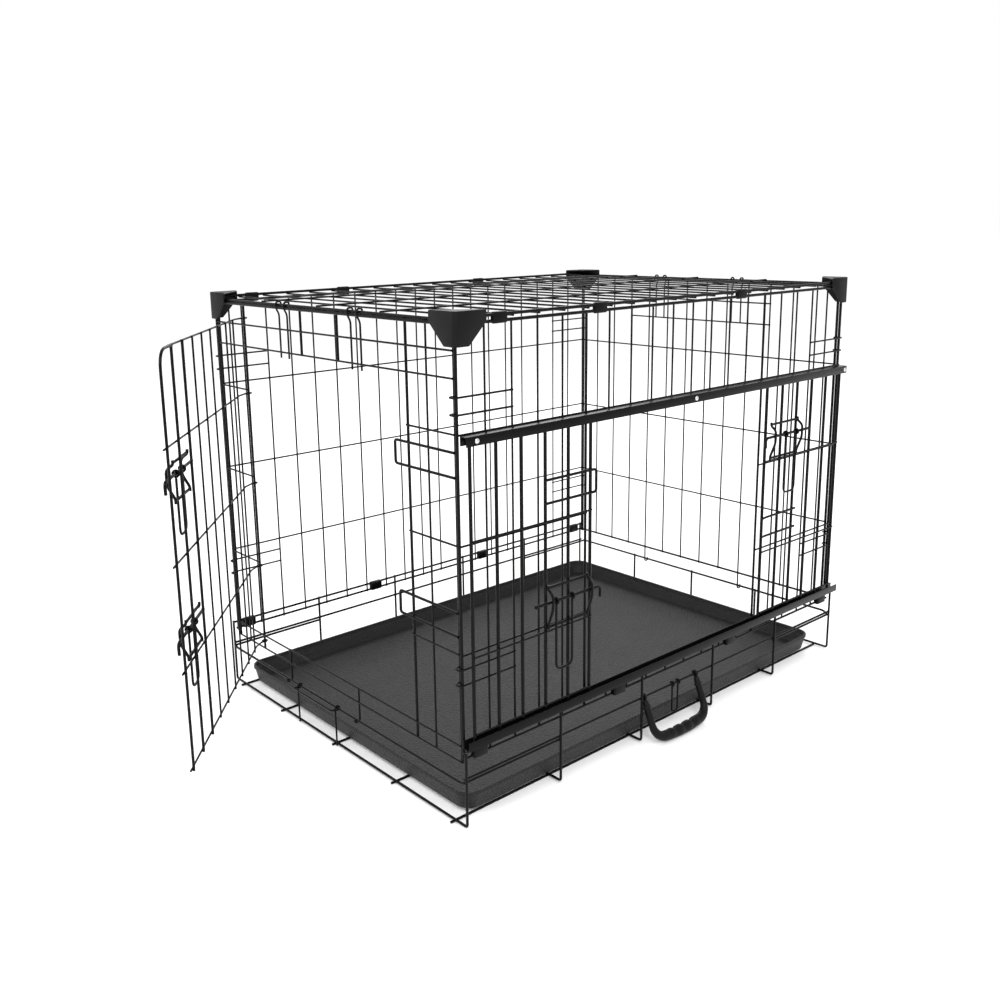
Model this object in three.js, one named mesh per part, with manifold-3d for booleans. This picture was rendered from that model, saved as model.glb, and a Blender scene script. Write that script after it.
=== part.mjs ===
// A folding wire dog crate with a hinged end door and two sliding side doors.
// Millimetres. +X runs along the crate, away from the hinged door. -Y is the side with the
// sliding doors. +Z is up. The origin is on the floor under the middle of the crate.
// Each round wire is a square bar with about the same section area.

import * as THREE from 'three';
import { mergeVertices } from 'three/addons/utils/BufferGeometryUtils.js';
import Module from 'manifold-3d';

const wasm = await Module();
wasm.setup();

// ---------------------------------------------------------------- driving dimensions

const LENGTH = 762;          // between the corner posts of the long sides
const WIDTH = 540;           // between the planes of the long sides
const HEIGHT = 600;          // floor to the top of the corner caps

const FINE = 2.0;            // bar for a 2.2 mm wire
const MID = 2.8;             // bar for a 3.2 mm wire
const FRAME = 3.4;           // bar for a 3.8 mm wire

const WELD = 0.4;            // how far two crossing wires sink into each other
const GAP = 0.4;             // between pieces that touch

const SIDE_BAYS = 19;        // bays between the uprights of a long side
const OPENING_BAYS = 9;      // bays taken up by the side opening
const PANEL_BOTTOM = 88;     // bottom wire of the wall panels
const TOP_DROP = 14;         // top wire of the wall panels, under the caps' tops
const LEVELS = [214, 342, 467];
const TIES = [178, 197, 489, 508];   // short wires that reach round each corner post
const TIE_BAYS = 2;
const TIE_REACH = 5;         // a tie's tip past its corner post
const TIE_TIP = 8;           // the tip's return across the end panel's post

const POST_CLEAR = 0.7;      // an end panel's corner post to the side's corner post
const HINGE_MARGIN = 80;     // upright that the end door turns on, in from the side's plane
const FREE_MARGIN = 90;      // upright that it shuts against, in from the other side
const STRIP_MARGINS = [38, 53];
const SILLS = [81, 101];     // wires under the end door's opening
const HEADS = [528, 558];    // wires over it
const HEAD_STRUTS = [42, 73, 93];
const FRONT_LEGS = [115, -55];
const REAR_BAYS = 13;
const REAR_HEADS = [520, 554];
const REAR_HEAD_BAYS = 7;
const REAR_LEG_BAYS = 5;
const TOP_HOOKS = [71, 89];

const BASE_TOP = 97;         // top wire of the base basket's long walls
const BASE_MID = 64;         // middle wire of the long walls, top wire of the rear wall
const BASE_LAP = 59.5;       // end wires carried round into the long walls
const BASE_FRONT = 57;       // wire that the tray slides out under
const BASE_STEP = 4.4;       // basket wall wires, out from the panel's plane
const BASE_BAYS = 5;
const EDGE_RUNNER_INSET = 17;
const RUNNER_STUB = 5;

const RAIL_BACK = 3;         // back of a door channel, out from the panel's plane
const RAIL_DEPTH = 11;
const RAIL_HEIGHT = 11;
const RAIL_WALL = 1;
const RAIL_UPPER = 461;
const RAIL_LOWER = 107;
const RAIL_UPPER_PAST = [0, 1];      // ends of each channel past the corner posts
const RAIL_LOWER_PAST = [4, 10];
const RAIL_PLAY = 0.8;
const RIVETS = [-366, 13, 376];
const RIVET_RADIUS = 3.2;
const RIVET_RISE = 1.4;

const SLIDER_UPRIGHTS = 6;
const SLIDER_PITCH = 38;
const SLIDER_LEVELS = [118, 212, 348];
const SLIDER_OPEN_EDGE = 182;  // a door's inner upright when the door stands fully open
const SLIDER_LIFT = 9.8;     // a door's weld plane, out from the panel's plane

const DOOR_STANDS = 41;      // degrees, how far the end door stands open
const DOOR_FINE_PITCH = 40.25;
const DOOR_FINE = 6;         // fine uprights, then stout ones up to the free edge
const DOOR_STOUT = 2;
const DOOR_LEVELS = [91, 208, 332, 462, 567];
const DOOR_LIFT = 5.8;
const DOOR_TAIL = 5;         // level wires past the free edge
const KNUCKLE_OUTER = 4.4;
const KNUCKLE_INNER = 2.7;

const BOLT = 3.2;
const BOLT_HOOK = 14;
const BOLT_LIFT = 1.0;       // keeps the pull's eyes off the door's level wires
const BOLT_KNOB = 4;
const GUIDE_RISE = 17;       // guide's top bar over the bolt
const PULL_WIRE = 2.4;
const EYE_CLEAR = 0.15;      // bolt's corner to the flats of a pull's eye
const EYE_WALL = 1.5;
const EYE_WIDTH = 3;
const KEEPER_GAP = 28;       // between a keeper's prongs
const KEEPER_BEND = 12;      // a keeper's closed end past its last weld
const KEEPER_RISE = 0.8;     // lets a slider's keeper lap the other door's upright

// Latches are set out from their door's edge: hook, guide and pull, and their lengths.
const SLIDE_LATCH = {
  hook: -11, guide: 8, guideWidth: 67, drop: 32, pull: 39, pullWidth: 27, pullLength: 88, length: 108,
};
const END_LATCH = {
  hook: 6, guide: 26, guideWidth: 57, drop: 26, pull: 48, pullWidth: 25, pullLength: 72, length: 104,
};
const LEFT_BOLT = 250;
const RIGHT_BOLT = 384;
const SLIDE_KEEPER = { over: 6, length: 80 };
const END_BOLTS = [240, 424];
const END_KEEPER_RISE = 9;
const END_KEEPER_REACH = 23; // its closed end past the upright that the door shuts against

const TRAY_SHORTER = 27;     // tray's size, less than the crate's
const TRAY_NARROWER = 18;
const TRAY_SETBACK = 13;     // tray's front to the first cross wire
const TRAY_HEIGHT = 25;
const TRAY_WALL = 2.5;
const TRAY_DRAFT = 7;        // the rim's overhang past the tray's foot
const TRAY_CORNER = 22;
const STOP_MIDDLE = 38.5;
const STOP_WIDTH = 95;
const STOP_REACH = 11;       // stop's push bar, out from the wire it turns on

const GRIP_X = -15;          // middle of the carry handle
const GRIP_WIDTH = 110;      // eye to eye
const GRIP_LENGTH = 62;
const GRIP_LEAN = 23;        // degrees, resting on the floor
const GRIP_ARM = 5;
const GRIP_BAR = 10;
const HASP_X = -4;           // hook that holds the folded crate shut
const HASP_WIDTH = 12;
const HASP_LENGTH = 42;

const CAP_REACH = 45;        // a corner cap along each wall
const CAP_HEIGHT = 38;
const CAP_EDGE = 15;         // height of a cap's upright end
const CAP_FOOT = 22;
const CAP_WALL = 2.2;
const CAP_STEP = 4.2;        // a cap's inner face, out from the panel's plane

const CLIP_LENGTH = 22;
const CLIP_WALL = 1.2;
const CLIPS_LOW = [-9, -3, 3, 9];    // bays from the middle
const CLIPS_HIGH = [-8, -4, 3];

// ---------------------------------------------------------------- derived places

const SIDE_X = LENGTH / 2;
const SIDE_Y = WIDTH / 2;
const PITCH = LENGTH / SIDE_BAYS;
const OPENING = PITCH * OPENING_BAYS / 2;
const PANEL_TOP = HEIGHT - TOP_DROP;
const END_POST = SIDE_Y - FRAME * 1.5 + WELD / 2 - POST_CLEAR;
const HINGE_JAMB = SIDE_Y - HINGE_MARGIN;
const FREE_JAMB = FREE_MARGIN - SIDE_Y;
const END_STRIPS = [SIDE_Y - STRIP_MARGINS[0], STRIP_MARGINS[1] - SIDE_Y];
const END_KEEPER_TIP = FREE_JAMB + END_KEEPER_REACH;
const RUNNERS = [0, SIDE_Y / 2];
const TRAY_LENGTH = LENGTH - TRAY_SHORTER;
const TRAY_WIDTH = WIDTH - TRAY_NARROWER;
const EYE_INNER = BOLT / Math.SQRT2 / Math.cos(Math.PI / 8) + EYE_CLEAR;
const EYE_OUTER = EYE_INNER + EYE_WALL;
const TOP_PLANE = PANEL_TOP + FRAME / 2 + GAP + FRAME - WELD / 2;
const BASE_X = SIDE_X + BASE_STEP;
const BASE_Y = SIDE_Y + BASE_STEP;
const POST_OUT = BASE_STEP + MID - WELD;
const CROSS_LEVEL = MID - WELD + MID / 2;
const DOOR_WIDTH = HINGE_JAMB - FREE_JAMB;
const JAMB_OUT = (WELD - MID) / 2;                 // middle of a jamb
const GUIDE_OUT = WELD / 2 + GAP + MID / 2;        // from a door's weld plane
const BOLT_OUT = GUIDE_OUT + MID / 2 + GAP + BOLT_LIFT + BOLT / 2;
const GUIDE_LEG_OUT = BOLT_OUT + BOLT / 2 + GAP + MID / 2;
const TRAY_FLOOR = CROSS_LEVEL + MID / 2 + GAP;

// ---------------------------------------------------------------- materials

function finish(color, roughness, metalness) {
  return new THREE.MeshStandardMaterial({ color, roughness, metalness });
}

const enamel = finish(0x17181a, 0.38, 0.4);
const plastic = finish(0x1d1e20, 0.6, 0.0);
const trayPlastic = finish(0x2c2d30, 0.7, 0.0);
const steel = finish(0xb9bcc0, 0.3, 0.9);

// ---------------------------------------------------------------- solids

function toSolid(geometry) {
  const bare = geometry.clone();
  bare.deleteAttribute('normal');
  bare.deleteAttribute('uv');
  const welded = mergeVertices(bare, 1e-4);
  const vertProperties = new Float32Array(welded.attributes.position.array);
  const triVerts = new Uint32Array(welded.index.array);
  return new wasm.Manifold(new wasm.Mesh({ numProp: 3, vertProperties, triVerts }));
}

function toGeometry(solid) {
  const { vertProperties, triVerts } = solid.getMesh();
  const geometry = new THREE.BufferGeometry();
  geometry.setAttribute('position', new THREE.BufferAttribute(new Float32Array(vertProperties), 3));
  geometry.setIndex(new THREE.BufferAttribute(new Uint32Array(triVerts), 1));
  geometry.computeVertexNormals();
  return geometry;
}

function join(solids) {
  return solids.reduce((whole, solid) => whole.add(solid));
}

// A square bar between two points, with both ends run past them by the overrun.
function bar(from, to, side, overrun = 0) {
  const along = new THREE.Vector3().subVectors(to, from);
  const length = along.length() + 2 * overrun;
  along.normalize();
  const upright = Math.abs(along.z) > 0.999;
  const up = upright ? new THREE.Vector3(0, 1, 0) : new THREE.Vector3(0, 0, 1);
  const across = new THREE.Vector3().crossVectors(up, along).normalize();
  const other = new THREE.Vector3().crossVectors(along, across);
  const turn = new THREE.Matrix4().makeBasis(across, other, along);
  const middle = new THREE.Vector3().addVectors(from, to).multiplyScalar(0.5);
  const geometry = new THREE.BoxGeometry(side, side, length);
  return toSolid(geometry.applyMatrix4(turn.setPosition(middle)));
}

// A wire bent through a list of points, with square corners.
function bentWire(points, side) {
  return join(points.slice(1).map((point, i) => bar(points[i], point, side, side / 2)));
}

function box(a, b) {
  const size = new THREE.Vector3().subVectors(b, a);
  const middle = new THREE.Vector3().addVectors(a, b).multiplyScalar(0.5);
  const geometry = new THREE.BoxGeometry(Math.abs(size.x), Math.abs(size.y), Math.abs(size.z));
  return toSolid(geometry.translate(middle.x, middle.y, middle.z));
}

// An eight-sided ring about an upright line, turned afterwards to lie along another.
function ring(center, turn, outer, inner, width) {
  const tube = wasm.Manifold.cylinder(width, outer, outer, 8, true)
    .subtract(wasm.Manifold.cylinder(width * 2, inner, inner, 8, true));
  return tube.rotate(turn).translate(center.toArray());
}

// Each wall has its own frame: u along the wall, out from its plane, and v up.
const walls = {
  near: (u, out, v) => new THREE.Vector3(u, -SIDE_Y - out, v),
  far: (u, out, v) => new THREE.Vector3(u, SIDE_Y + out, v),
  front: (u, out, v) => new THREE.Vector3(-SIDE_X - out, u, v),
  rear: (u, out, v) => new THREE.Vector3(SIDE_X + out, u, v),
  top: (u, out, v) => new THREE.Vector3(u, v, TOP_PLANE + out),
};

// The end door is made shut, with u from its hinge to its free edge, then swung open.
const doorFrame = (u, out, v) => walls.front(HINGE_JAMB - u, out, v);
const hinge = walls.front(HINGE_JAMB, JAMB_OUT, 0);

function swingOpen(solid) {
  const home = solid.translate(hinge.clone().negate().toArray());
  return home.rotate([0, 0, -DOOR_STANDS]).translate(hinge.toArray());
}

// A flat grille: uprights lie inside the plane, level wires outside it, welded where they cross.
function grille(at, uprights, levels, lift = 0) {
  const bars = uprights.map(({ u, from, to, side = FINE }) => {
    const out = lift + (WELD - side) / 2;
    return bar(at(u, out, from), at(u, out, to), side, side / 2);
  });
  for (const { v, from, to, side = FINE } of levels) {
    const out = lift + (side - WELD) / 2;
    bars.push(bar(at(from, out, v), at(to, out, v), side, side / 2));
  }
  return bars;
}

const crate = new THREE.Group();

const inPlace = (solid) => solid;

function add(name, solids, material, place = inPlace) {
  const solid = Array.isArray(solids) ? join(solids) : solids;
  const mesh = new THREE.Mesh(toGeometry(place(solid)), material);
  mesh.name = name;
  crate.add(mesh);
}

function mirrored(values) {
  return values.flatMap((value) => (value === 0 ? [0] : [-value, value]));
}

function evenly(count, pitch) {
  return Array.from({ length: count }, (_, i) => (i - (count - 1) / 2) * pitch);
}

// ---------------------------------------------------------------- long sides

const sideUprights = evenly(SIDE_BAYS - 1, PITCH);

function upright(u, side = FINE, from = PANEL_BOTTOM, to = PANEL_TOP) {
  return { u, from, to, side };
}

function sideLevel(v, side = FINE) {
  return { v, from: -SIDE_X, to: SIDE_X, side };
}

// Each tie starts on the second upright and turns in past the end panel's corner post.
function cornerTies(at) {
  const out = (FINE - WELD) / 2;
  return TIES.flatMap((v) => [-1, 1].map((end) => bentWire([
    at(end * (SIDE_X - TIE_BAYS * PITCH), out, v),
    at(end * (SIDE_X + TIE_REACH), out, v),
    at(end * (SIDE_X + TIE_REACH), out - TIE_TIP, v),
  ], FINE)));
}

const sidePosts = mirrored([SIDE_X]).map((u) => upright(u, FRAME));

function farSide() {
  const uprights = sideUprights.map((u) => upright(u));
  const levels = [sideLevel(PANEL_BOTTOM, MID), sideLevel(PANEL_TOP, FRAME)];
  levels.push(...LEVELS.map((v) => sideLevel(v)));
  return [...grille(walls.far, [...uprights, ...sidePosts], levels), ...cornerTies(walls.far)];
}

// The uprights that would cross the opening stop at the wires below and above it.
function nearSide() {
  const uprights = sideUprights.flatMap((u) => {
    const onEdge = Math.abs(Math.abs(u) - OPENING) < PITCH / 4;
    if (onEdge || Math.abs(u) > OPENING) return [upright(u, onEdge ? MID : FINE)];
    return [
      upright(u, FINE, PANEL_BOTTOM, RAIL_LOWER),
      upright(u, FINE, LEVELS[2], PANEL_TOP),
    ];
  });
  const levels = [sideLevel(PANEL_BOTTOM, MID), sideLevel(PANEL_TOP, FRAME)];
  levels.push(sideLevel(RAIL_LOWER), sideLevel(LEVELS[2]));
  for (const v of LEVELS.slice(0, 2)) {
    levels.push({ v, from: -SIDE_X, to: -OPENING }, { v, from: OPENING, to: SIDE_X });
  }
  return [...grille(walls.near, [...uprights, ...sidePosts], levels), ...cornerTies(walls.near)];
}

add('far_side_panel', farSide(), enamel);
add('near_side_panel', nearSide(), enamel);

// ---------------------------------------------------------------- ends

function endLevel(v, side = FINE, from = -END_POST, to = END_POST) {
  return { v, from, to, side };
}

// A leg that runs down inside the basket's wall wire and turns out under it.
function leg(at, u, top, wire) {
  const inside = (WELD - FINE) / 2;
  const turn = wire - MID / 2 - GAP - FINE / 2;
  const outside = BASE_STEP + MID / 2 + GAP + FINE / 2;
  return bentWire([at(u, inside, top), at(u, inside, turn), at(u, outside, turn)], FINE);
}

// A keeper is one wire: two prongs welded across the uprights, and a closed end that may rise.
function keeper(at, v, root, tip, lift = 0, rise = 0) {
  const out = lift + (MID - WELD) / 2;
  const high = v + KEEPER_GAP / 2;
  const low = v - KEEPER_GAP / 2;
  const bend = tip + Math.sign(root - tip) * KEEPER_BEND;
  return bentWire([
    at(root, out, high), at(bend, out, high), at(tip, out + rise, high),
    at(tip, out + rise, low), at(bend, out, low), at(root, out, low),
  ], MID);
}

function frontEnd() {
  const bottom = SILLS[0];
  const uprights = mirrored([END_POST]).map((u) => upright(u, FRAME, bottom));
  uprights.push(upright(HINGE_JAMB, MID, bottom), upright(FREE_JAMB, MID, bottom));
  uprights.push(...END_STRIPS.map((u) => upright(u, FINE, bottom)));
  uprights.push(...mirrored(HEAD_STRUTS).map((u) => (
    upright(u, Math.abs(u) === HEAD_STRUTS[0] ? MID : FINE, HEADS[0])
  )));
  const levels = [...SILLS, ...HEADS].map((v) => endLevel(v));
  levels.push(endLevel(PANEL_TOP, FRAME));
  for (const v of LEVELS) {
    levels.push(endLevel(v, FINE, HINGE_JAMB, END_POST), endLevel(v, FINE, -END_POST, FREE_JAMB));
  }
  const bars = grille(walls.front, uprights, levels);
  bars.push(...FRONT_LEGS.map((u) => leg(walls.front, u, SILLS[1], BASE_FRONT)));
  bars.push(...END_BOLTS.map((v) => keeper(walls.front, v + END_KEEPER_RISE, -END_POST, END_KEEPER_TIP)));
  return bars;
}

function rearEnd() {
  const pitch = WIDTH / REAR_BAYS;
  const uprights = evenly(REAR_BAYS - 1, pitch).map((u) => upright(u));
  uprights.push(...mirrored([END_POST]).map((u) => upright(u, FRAME)));
  uprights.push(...mirrored(TOP_HOOKS).map((u) => upright(u, FINE, REAR_HEADS[0])));
  const reach = REAR_HEAD_BAYS * pitch / 2;
  const levels = REAR_HEADS.map((v) => endLevel(v, FINE, -reach, reach));
  levels.push(...LEVELS.map((v) => endLevel(v)));
  levels.push(endLevel(PANEL_BOTTOM, MID), endLevel(PANEL_TOP, FRAME));
  const legs = mirrored([REAR_LEG_BAYS * pitch / 2]);
  const bars = grille(walls.rear, uprights, levels);
  bars.push(...legs.map((u) => leg(walls.rear, u, PANEL_BOTTOM, BASE_MID)));
  return bars;
}

add('door_end_panel', frontEnd(), enamel);
add('rear_end_panel', rearEnd(), enamel);

// ---------------------------------------------------------------- top

function topPanel() {
  const edge = SIDE_Y + FRAME / 2;
  const cross = sideUprights.map((u) => upright(u, FINE, -edge, edge));
  cross.push(...mirrored([SIDE_X]).map((u) => upright(u, FRAME, -edge, edge)));
  const levels = mirrored([edge]).map((v) => sideLevel(v, FRAME));
  levels.push(...mirrored(RUNNERS).map((v) => sideLevel(v)));
  return grille(walls.top, cross, levels);
}

add('top_panel', topPanel(), enamel);

// ---------------------------------------------------------------- base basket

const crossReach = BASE_X + POST_OUT - BASE_STEP - MID - GAP;
const crossWires = evenly(BASE_BAYS + 1, 2 * crossReach / BASE_BAYS);
const runners = mirrored([...RUNNERS, SIDE_Y - EDGE_RUNNER_INSET]);

function baseFloor() {
  const bars = runners.map((y) => bar(
    new THREE.Vector3(-BASE_X - RUNNER_STUB, y, MID / 2),
    new THREE.Vector3(BASE_X, y, MID / 2),
    MID,
  ));
  const reach = SIDE_Y + POST_OUT - MID / 2 - GAP;
  for (const x of crossWires) {
    bars.push(bar(
      new THREE.Vector3(x, -reach, CROSS_LEVEL),
      new THREE.Vector3(x, reach, CROSS_LEVEL),
      MID,
    ));
  }
  return bars;
}

// Posts stand outside the wall's wires. The basket's end wires lap into the end bays.
function baseWall(at) {
  const bars = crossWires.map((u) => bar(at(u, POST_OUT, 0), at(u, POST_OUT, BASE_TOP + MID / 2), MID));
  for (const v of [BASE_TOP, BASE_MID]) {
    bars.push(bar(at(-BASE_X, BASE_STEP, v), at(BASE_X, BASE_STEP, v), MID, MID / 2));
  }
  const [first, second] = crossWires;
  for (const end of [-1, 1]) {
    const from = at(end * first, BASE_STEP, BASE_LAP);
    bars.push(bar(from, at(end * second, BASE_STEP, BASE_LAP), MID, MID / 2));
  }
  return bars;
}

function endWire(at, v) {
  const reach = BASE_Y - MID / 2 - GAP;
  return bar(at(-reach, BASE_STEP, v), at(reach, BASE_STEP, v), MID);
}

// The rear wall's posts are three of the floor's runners, turned up.
function rearWall() {
  const posts = mirrored(RUNNERS).map((u) => (
    bar(walls.rear(u, POST_OUT, 0), walls.rear(u, POST_OUT, BASE_MID + MID / 2), MID)
  ));
  return [endWire(walls.rear, BASE_MID), ...posts];
}

add('base_floor', baseFloor(), enamel);
add('base_wall_near', baseWall(walls.near), enamel);
add('base_wall_far', baseWall(walls.far), enamel);
add('base_wall_rear', rearWall(), enamel);
add('base_wall_front', endWire(walls.front, BASE_FRONT), enamel);

// ---------------------------------------------------------------- clips

// A clip is strip rolled round two parallel wires: a flat sleeve in section.
function clip(at, u, outs, vs) {
  const sleeve = (spread, length) => box(
    at(u - length / 2, outs[0] - spread, vs[0] - spread),
    at(u + length / 2, outs[1] + spread, vs[1] + spread),
  );
  return sleeve(GAP + CLIP_WALL, CLIP_LENGTH).subtract(sleeve(GAP, CLIP_LENGTH * 2));
}

for (const wall of ['near', 'far']) {
  const lowOuts = [-WELD / 2, BASE_STEP + MID / 2];
  const lowLevels = [PANEL_BOTTOM - MID / 2, BASE_TOP + MID / 2];
  CLIPS_LOW.forEach((bay, i) => {
    add(`${wall}_low_clip_${i + 1}`, clip(walls[wall], bay * PITCH, lowOuts, lowLevels), enamel);
  });
  const highOuts = [-WELD / 2, FRAME];
  const highLevels = [PANEL_TOP - FRAME / 2, TOP_PLANE - WELD / 2 + FRAME];
  CLIPS_HIGH.forEach((bay, i) => {
    add(`${wall}_high_clip_${i + 1}`, clip(walls[wall], bay * PITCH, highOuts, highLevels), enamel);
  });
}

// ---------------------------------------------------------------- corner caps

function plate(points, thickness, across, up, corner) {
  const shape = new THREE.Shape(points.map(([a, b]) => new THREE.Vector2(a, b)));
  const geometry = new THREE.ExtrudeGeometry(shape, { depth: thickness, bevelEnabled: false });
  const turn = new THREE.Matrix4().makeBasis(across, up, new THREE.Vector3().crossVectors(across, up));
  return toSolid(geometry.applyMatrix4(turn.setPosition(corner)));
}

// Two tapering cheeks and a three-sided lid close over the corner where three panels meet.
function cornerCap(flipX, flipY) {
  const ex = new THREE.Vector3(1, 0, 0);
  const ey = new THREE.Vector3(0, 1, 0);
  const ez = new THREE.Vector3(0, 0, 1);
  const reach = CAP_STEP + CAP_WALL;
  const corner = new THREE.Vector3(-SIDE_X - reach, -SIDE_Y - reach, HEIGHT);
  const cheek = [
    [0, 0], [0, -CAP_HEIGHT], [CAP_FOOT, -CAP_HEIGHT], [CAP_REACH, -CAP_EDGE], [CAP_REACH, 0],
  ];
  const inward = corner.clone().add(new THREE.Vector3(0, CAP_WALL, 0));
  const below = corner.clone().add(new THREE.Vector3(0, 0, -CAP_WALL));
  const solid = join([
    plate(cheek, CAP_WALL, ex, ez, inward),
    plate(cheek, CAP_WALL, ey, ez, corner),
    plate([[0, 0], [CAP_REACH, 0], [0, CAP_REACH]], CAP_WALL, ex, ey, below),
  ]);
  const acrossX = flipX ? solid.mirror([1, 0, 0]) : solid;
  return flipY ? acrossX.mirror([0, 1, 0]) : acrossX;
}

add('corner_cap_front_near', cornerCap(false, false), plastic);
add('corner_cap_rear_near', cornerCap(true, false), plastic);
add('corner_cap_front_far', cornerCap(false, true), plastic);
add('corner_cap_rear_far', cornerCap(true, true), plastic);

// ---------------------------------------------------------------- channels and rivets

// A channel is open on the side that faces the other channel.
function rail(middle, past, opening) {
  const from = -SIDE_X - past[0];
  const to = SIDE_X + past[1];
  const half = RAIL_HEIGHT / 2;
  const front = RAIL_BACK + RAIL_DEPTH;
  const outer = box(walls.near(from, RAIL_BACK, middle - half), walls.near(to, front, middle + half));
  const web = middle - opening * (half - RAIL_WALL);
  const inner = box(
    walls.near(from - 1, RAIL_BACK + RAIL_WALL, web),
    walls.near(to + 1, front - RAIL_WALL, web + opening * RAIL_HEIGHT),
  );
  return outer.subtract(inner);
}

add('upper_rail', rail(RAIL_UPPER, RAIL_UPPER_PAST, -1), enamel);
add('lower_rail', rail(RAIL_LOWER, RAIL_LOWER_PAST, 1), enamel);

RIVETS.forEach((x, i) => {
  const middle = walls.near(x, RAIL_BACK + RAIL_DEPTH + GAP + RIVET_RISE / 2, RAIL_UPPER);
  const head = wasm.Manifold.cylinder(RIVET_RISE, RIVET_RADIUS, RIVET_RADIUS, 12, true);
  add(`rail_rivet_${i + 1}`, head.rotate([90, 0, 0]).translate(middle.toArray()), steel);
});

// ---------------------------------------------------------------- latches

// A latch sits on its door in four pieces. Its distances run back from the door's edge,
// so each door gives a frame whose first coordinate is measured inward from that edge.
function latch(prefix, at, v, sizes, lift, place) {
  const inner = lift + GUIDE_OUT;
  const outer = lift + GUIDE_LEG_OUT;
  const top = v + GUIDE_RISE;
  const bottom = v - sizes.drop;
  const ends = [sizes.guide, sizes.guide + sizes.guideWidth];
  const loop = ends.map((s) => bentWire([
    at(s, inner, top), at(s, outer, top), at(s, outer, bottom), at(s, inner, bottom),
  ], MID));
  loop.push(...[top, bottom].map((z) => bar(at(ends[0], inner, z), at(ends[1], inner, z), MID)));
  add(`${prefix}_guide`, loop, enamel, place);

  const out = lift + BOLT_OUT;
  const tail = sizes.hook + sizes.length;
  const shaft = bentWire([at(tail, out, v), at(sizes.hook, out, v), at(sizes.hook, out, v - BOLT_HOOK)], BOLT);
  const knob = bar(at(tail, out, v), at(tail + BOLT_KNOB, out, v), BOLT_KNOB);
  add(`${prefix}_bolt`, [shaft, knob], enamel, place);

  const eyes = [sizes.pull, sizes.pull + sizes.pullWidth];
  const foot = v - sizes.pullLength;
  const neck = v - EYE_OUTER;
  const alongX = at(1, 0, 0).x !== at(0, 0, 0).x;
  const turn = alongX ? [0, 90, 0] : [90, 0, 0];
  const pull = eyes.map((s) => ring(at(s, out, v), turn, EYE_OUTER, EYE_INNER, EYE_WIDTH));
  pull.push(bentWire([
    at(eyes[0], out, neck), at(eyes[0], out, foot), at(eyes[1], out, foot), at(eyes[1], out, neck),
  ], PULL_WIRE));
  add(`${prefix}_pull`, pull, enamel, place);
}

// ---------------------------------------------------------------- sliding doors

// side is -1 for the left door and 1 for the right one. s runs in from the door's edge.
function slidingDoor(side) {
  const at = (s, out, v) => walls.near(side * (SLIDER_OPEN_EDGE + s), out, v);
  const low = RAIL_LOWER - RAIL_HEIGHT / 2 + RAIL_WALL + RAIL_PLAY;
  const high = RAIL_UPPER + RAIL_HEIGHT / 2 - RAIL_WALL - RAIL_PLAY;
  const uprights = Array.from({ length: SLIDER_UPRIGHTS }, (_, i) => (
    upright(i * SLIDER_PITCH, FRAME, low + FRAME / 2, high - FRAME / 2)
  ));
  const width = (SLIDER_UPRIGHTS - 1) * SLIDER_PITCH;
  const rises = [...SLIDER_LEVELS, RAIL_UPPER - WELD];
  const levels = rises.map((v) => ({ v, from: 0, to: width }));
  const bars = grille(at, uprights, levels, SLIDER_LIFT);
  const theirs = side < 0 ? RIGHT_BOLT : LEFT_BOLT;
  bars.push(keeper(at, theirs, SLIDE_KEEPER.length, -SLIDE_KEEPER.over, SLIDER_LIFT, KEEPER_RISE));
  const prefix = side < 0 ? 'left_door' : 'right_door';
  add(`${prefix}_panel`, bars, enamel);
  latch(prefix, at, side < 0 ? LEFT_BOLT : RIGHT_BOLT, SLIDE_LATCH, SLIDER_LIFT);
}

slidingDoor(-1);
slidingDoor(1);

// ---------------------------------------------------------------- end door

function endDoor() {
  const uprights = Array.from({ length: DOOR_FINE }, (_, i) => (
    upright((i + 1) * DOOR_FINE_PITCH, FINE, DOOR_LEVELS[0], DOOR_LEVELS[4])
  ));
  const last = DOOR_FINE * DOOR_FINE_PITCH;
  const stoutPitch = (DOOR_WIDTH - last) / (DOOR_STOUT + 1);
  for (let i = 1; i <= DOOR_STOUT + 1; i += 1) {
    uprights.push(upright(last + i * stoutPitch, MID, DOOR_LEVELS[0], DOOR_LEVELS[4]));
  }
  const levels = DOOR_LEVELS.map((v) => ({ v, from: DOOR_FINE_PITCH, to: DOOR_WIDTH + DOOR_TAIL }));
  const bars = grille(doorFrame, uprights, levels, DOOR_LIFT);
  const out = DOOR_LIFT + (FINE - WELD) / 2;
  for (const v of DOOR_LEVELS) {
    bars.push(ring(doorFrame(0, JAMB_OUT, v), [0, 0, 0], KNUCKLE_OUTER, KNUCKLE_INNER, FINE));
    const root = doorFrame((KNUCKLE_OUTER + KNUCKLE_INNER) / 2, JAMB_OUT, v);
    bars.push(bentWire([root, doorFrame(DOOR_FINE_PITCH / 2, out, v), doorFrame(DOOR_FINE_PITCH, out, v)], FINE));
  }
  return bars;
}

add('end_door_panel', endDoor(), enamel, swingOpen);

const fromFreeEdge = (s, out, v) => doorFrame(DOOR_WIDTH - s, out, v);
latch('end_lower', fromFreeEdge, END_BOLTS[0], END_LATCH, DOOR_LIFT, swingOpen);
latch('end_upper', fromFreeEdge, END_BOLTS[1], END_LATCH, DOOR_LIFT, swingOpen);

// ---------------------------------------------------------------- tray and its stop

function trayBlock(inset, from, to) {
  const layer = (z, spread) => {
    const x = TRAY_LENGTH / 2 - inset - spread;
    const y = TRAY_WIDTH / 2 - inset - spread;
    const corner = TRAY_CORNER - inset;
    return [-1, 1].flatMap((sx) => [-1, 1].map((sy) => (
      wasm.Manifold.cylinder(WELD, corner, corner, 20, true)
        .translate([sx * (x - corner), sy * (y - corner), z])
    )));
  };
  return wasm.Manifold.hull([...layer(from, TRAY_DRAFT), ...layer(to, 0)]);
}

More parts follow.
